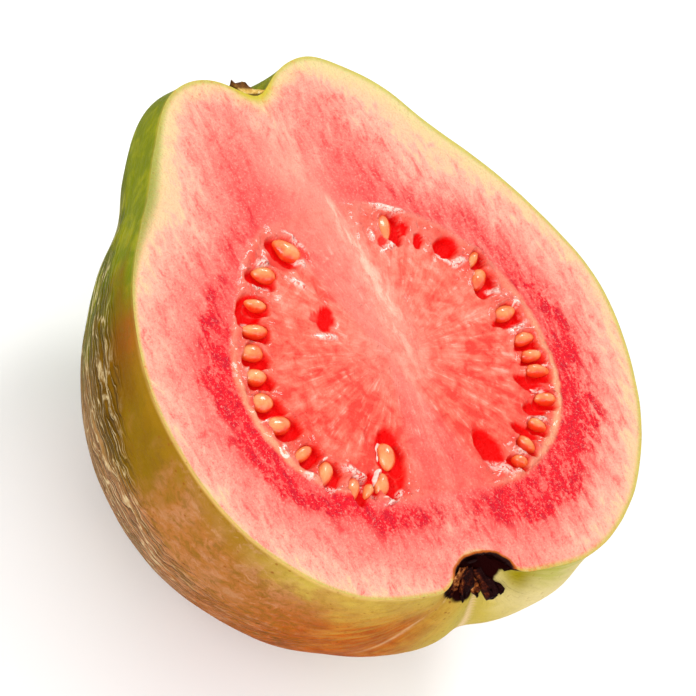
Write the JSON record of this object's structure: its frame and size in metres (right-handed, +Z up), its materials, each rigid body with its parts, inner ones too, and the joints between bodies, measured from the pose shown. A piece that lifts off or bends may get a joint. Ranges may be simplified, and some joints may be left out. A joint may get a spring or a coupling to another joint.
{
  "type": "halved guava",
  "caption": "Pink guava cut in half lengthwise, lying on its skin with the seeded cut face level and up.",
  "frame": {"origin": "centre of the bounding box's underside, on the resting surface", "axes": "+Z up, square to the cut face; +Y along the fruit's axis towards the stem; +X across the cut face"},
  "size_m": [0.0864, 0.089, 0.0473],
  "materials": {
    "flesh": "wet pink flesh with a thin green skin on the round side",
    "stem_wood": "dry, matte, fibrous",
    "calyx_brown": "dry, matte, dark brown",
    "seed": "hard and glossy with juice"
  },
  "bodies": {
    "root": {"guava_half": "flesh", "stem_stub": "stem_wood", "calyx_disc": "calyx_brown", "sepal_left": "calyx_brown", "sepal_middle": "calyx_brown", "sepal_small": "calyx_brown", "sepal_right": "calyx_brown", "seed_01": "seed", "seed_02": "seed", "seed_03": "seed", "seed_04": "seed", "seed_05": "seed", "seed_06": "seed", "seed_07": "seed", "seed_08": "seed", "seed_09": "seed", "seed_10": "seed", "seed_11": "seed", "seed_12": "seed", "seed_13": "seed", "seed_14": "seed", "seed_15": "seed", "seed_16": "seed", "seed_17": "seed", "seed_18": "seed", "seed_19": "seed", "seed_20": "seed", "seed_21": "seed", "seed_22": "seed", "seed_23": "seed", "seed_24": "seed", "seed_25": "seed"}
  },
  "joints": []
}
